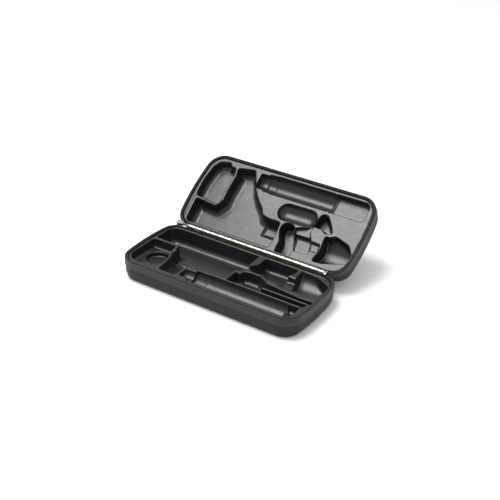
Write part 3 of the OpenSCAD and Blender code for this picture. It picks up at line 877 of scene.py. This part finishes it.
def handle_bed(air, neck_x, neck_r, seat_x, main_x, step_x, end_x, end_d):
    air.bar(neck_x, seat_x + 1, HANDLE_S, neck_r)
    air.bar(seat_x, main_x + 1, HANDLE_S, HANDLE_R - 1)
    air.bar(main_x, step_x, HANDLE_S, HANDLE_R)
    air.bar(step_x - 1, step_x + 3, HANDLE_S, HANDLE_R - 1.6)
    air.well([(step_x + 2, HS, 2), (end_x, HS, 3), (end_x, HANDLE_S + HANDLE_R, 9),
              (step_x + 2, HANDLE_S + HANDLE_R, 2)], end_d, 4)


def lid_air():
    air = Air(1.1)
    air.well([(-134.5, 53.5, 5), (-97, 48.5, 6), (-90.5, 52, 5), (-92, 66, 4), (-92, 104, 5),
              (-96, 114.5, 3), (-104, 115, 3), (-109, 121.2, 4), (-125, 117.7, 8), (-132.5, 107, 8),
              (-136, 82, 20)], 17, 7)
    air.well([(-127.5, 8.6, 6), (17, 8.6, 4), (19, 28, 5), (15.5, 52, 4), (-1, 52, 3), (-16, 54.5, 5),
              (-22, 64, 8), (-35, 76, 12), (-46, 89, 12), (-56.5, 108, 5), (-64, 120.7, 4),
              (-92.5, 115.7, 4), (-88.5, 102, 6), (-88.5, 74, 4), (-87, 58, 5), (-94, 45, 6),
              (-131, 49, 4)], 20, 9)
    air.well([(-14, 30, 3), (17, 30, 2), (14.5, 50.5, 3), (-1, 50.5, 3), (-14, 50.5, 4)], 23, 5, lip=3)
    handle_bed(air, -51, 12.4, -37, -24, 73, 130, 12)
    air.bowl((17.5, 70.5), (51.5, 71), 14, 11)
    air.well([(29, 7, 2), (53.5, 7, 2), (54, 18, 3), (41.5, 46, 4), (40.5, 55.3, 9), (19.5, 55.3, 9.5),
              (20.5, 41, 4), (28.5, 24, 4)], 20, 4)
    air.well([(44, 43, 1), (70, 43, 1), (66, 51.5, 3), (67.5, 68.5, 2), (57, 57.5, 6), (41, 50.5, 2)], 6, 2)
    air.well([(50, 16, 2), (77.5, 18.5, 2), (73.5, 39, 3), (69.5, 45, 2), (43, 44.5, 2)], 13, 4)
    air.well([(74, 25, 2), (90, 25, 2), (88, 37.5, 2), (74, 38.5, 2)], 4.5, 2, lip=2)
    air.well([(66, 61.5, 2), (78, 61.5, 4), (87, 56.5, 3), (98, 58.5, 3), (91.5, 69.5, 8),
              (79, 84.5, 6), (70, 85, 6), (66, 73, 6)], 17, 5)
    drum(air, [(87.5, 11, 3), (103, 12, 15), (135, 22, 10), (138.6, 36, 10), (128, 50.5, 14),
               (104, 57.5, 8), (97, 53, 3), (89.5, 52.5, 2.5), (92, 31, 20)], 33)
    return air


# hinge, slider, stops
def tube_x(x0, x1, y, z, r, segments=24, ends=0.35):
    """Points and faces of a closed round bar along x with rounded ends, mm."""
    prof = [(x0, r - ends), (x0 + ends * 0.3, r - ends * 0.3), (x0 + ends, r),
            (x1 - ends, r), (x1 - ends * 0.3, r - ends * 0.3), (x1, r - ends)]
    verts = [(x, y + rr * math.cos(2 * math.pi * k / segments), z + rr * math.sin(2 * math.pi * k / segments))
             for x, rr in prof for k in range(segments)]
    m = segments
    faces = [(j * m + k, (j + 1) * m + k, (j + 1) * m + (k + 1) % m, j * m + (k + 1) % m)
             for j in range(len(prof) - 1) for k in range(m)]
    faces.append(tuple(range(m)))
    faces.append(tuple((len(prof) - 1) * m + k for k in reversed(range(m))))
    return verts, faces


def block(x0, x1, y0, y1, z0, z1):
    verts = [(x, y, z) for z in (z0, z1) for y in (y0, y1) for x in (x0, x1)]
    return verts, [(0, 2, 3, 1), (4, 5, 7, 6), (0, 1, 5, 4), (1, 3, 7, 5), (3, 2, 6, 7), (2, 0, 4, 6)]


def merged(parts):
    verts, faces = [], []
    for v, f in parts:
        first = len(verts)
        verts += list(v)
        faces += [tuple(i + first for i in face) for face in f]
    return verts, faces


def leaf(half, first):
    """A hinge leaf: a plate inside the wall in a brass olive, darkened with painted shade for the shade it lies
    in, bent out to its bright knuckles on the pin line.
    """
    length = 2 * (corner_x(REAR_R) - HINGE_IN)
    x0, pitch = -length / 2, length / KNUCKLES
    y0, y1 = LEAF_Y - LEAF_T, HALF_W + PIN_OUT
    plate = merged([block(x0, -x0, y0, LEAF_Y, -LEAF_H, -TAPE_T),
                    block(x0, -x0, y0, y1 - KNUCKLE_R - 0.3, -TAPE_T + 0.001, -TAPE_T + LEAF_T)])
    play = KNUCKLE_GAP / 4
    rolls = [tube_x(x0 + k * pitch + play, x0 + (k + 1) * pitch - play, y1, PIN_UP, ROLL_R)
             for k in range(first, KNUCKLES, 2)]
    tongues = [block(x0 + k * pitch + 0.3, x0 + (k + 1) * pitch - 0.3, y0 + 0.4, y1, -TAPE_T, -TAPE_T + LEAF_T)
               for k in range(first, KNUCKLES, 2)]
    plate = merged([plate] + tongues)
    verts, faces = merged([plate] + rolls)
    # the plate takes the olive metal darkened with painted shade; the knuckles take the nickel
    obj = mesh_object(half.body + "_leaf", verts, faces, LEAF_PAINTED_SHADE, half.body, half)
    obj.data.materials.append(NICKEL)
    for i, poly in enumerate(obj.data.polygons):
        poly.material_index = int(i >= len(plate[1]))
    sharp(obj, 40)
    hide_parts(half.body + "_hinge_leaf")
    return obj


def floor_and_light():
    size = 6.0
    mesh = bpy.data.meshes.new("floor")
    corners = [(-size, -size, 0), (size, -size, 0), (size, size, 0), (-size, size, 0)]
    mesh.from_pydata(corners, [], [(0, 1, 2, 3)])
    m, nt, b = new_material("floor_paper")
    b.inputs["Base Color"].default_value = (0.9, 0.9, 0.9, 1)
    b.inputs["Roughness"].default_value = 0.9
    b.inputs["Specular IOR Level"].default_value = 0.1
    mesh.materials.append(m)
    floor = bpy.data.objects.new("floor", mesh)
    bpy.context.scene.collection.objects.link(floor)
    scene = bpy.context.scene
    scene.view_settings.view_transform = "Standard"
    world = bpy.data.worlds.new("studio")
    scene.world = world
    world.use_nodes = True
    nt = world.node_tree
    up = node(nt, "ShaderNodeSeparateXYZ", [(0, node(nt, "ShaderNodeTexCoord").outputs["Generated"])])
    ramp = node(nt, "ShaderNodeMapRange", [("Value", up.outputs[2])])
    for key, value in {"From Min": 0.1, "From Max": 0.95, "To Min": SKY_LOW, "To Max": SKY_HIGH}.items():
        ramp.inputs[key].default_value = value
    nt.links.new(ramp.outputs["Result"], nt.nodes["Background"].inputs[1])
    nt.nodes["Background"].inputs[0].default_value = (1, 1, 1, 1)


SKY_LOW, SKY_HIGH = 0.62, 0.98


def area_light(name, place, target, size, power, colour=(1, 1, 1)):
    data = bpy.data.lights.new(name, "AREA")
    data.shape = "RECTANGLE"
    data.size, data.size_y = size
    data.energy = power
    data.color = colour
    obj = bpy.data.objects.new(name, data)
    obj.location = place
    direction = Vector(target) - Vector(place)
    obj.rotation_euler = direction.to_track_quat("-Z", "Y").to_euler()
    bpy.context.scene.collection.objects.link(obj)
    return obj


def camera():
    """The photograph's camera, from its fit to the case's outline."""
    azimuth, elevation, roll = math.radians(32.085), math.radians(29.847), math.radians(1.823)
    distance, focal_px = 1410.86 * MM, 946.73
    target = Vector((-31.4, HALF_W + 41.26, 0)) * MM
    back = Vector((math.sin(azimuth) * math.cos(elevation), -math.cos(azimuth) * math.cos(elevation),
                   math.sin(elevation)))
    right = (-back).cross(Vector((0, 0, 1))).normalized()
    up = right.cross(-back)
    r2 = right * math.cos(roll) + up * math.sin(roll)
    u2 = up * math.cos(roll) - right * math.sin(roll)
    data = bpy.data.cameras.new("camera")
    data.sensor_width = 36
    data.lens = focal_px / 500 * data.sensor_width
    data.clip_start, data.clip_end = 0.05, 50
    obj = bpy.data.objects.new("camera", data)
    turn = Matrix((r2, u2, back)).transposed().to_4x4()
    obj.matrix_world = Matrix.Translation(target + back * distance) @ turn
    bpy.context.scene.collection.objects.link(obj)
    bpy.context.scene.camera = obj


camera()
floor_and_light()
area_light("top", (-0.45, -0.1, 1.5), (0, 0.05, 0), (0.9, 0.9), 26)

for half in HALVES:
    shell(half, BASE_H)
    tape(half)
    coil(half)
    welt(half)
    stitches(half, "tape_stitches", lambda s: (on(s, -0.05, -TAPE_H + 1.6), outward(s)))
tray(HALVES[0], base_air(), "base_formed_tray")
tray(HALVES[1], lid_air(), "lid_formed_tray")

leaf(HALVES[0], 0)
leaf(HALVES[1], 1)
for name, material in {"base_hinge_rivets": RIVET, "lid_hinge_rivets": RIVET, "hinge_pin": NICKEL,
                       "zip_stop_left": GUNMETAL, "zip_stop_right": NICKEL, "zip_slider": GUNMETAL,
                       "slider_crown": GUNMETAL, "zip_pull": GUNMETAL}.items():
    mesh = frame["nodes"][name].data
    mesh.materials.clear()
    mesh.materials.append(material)
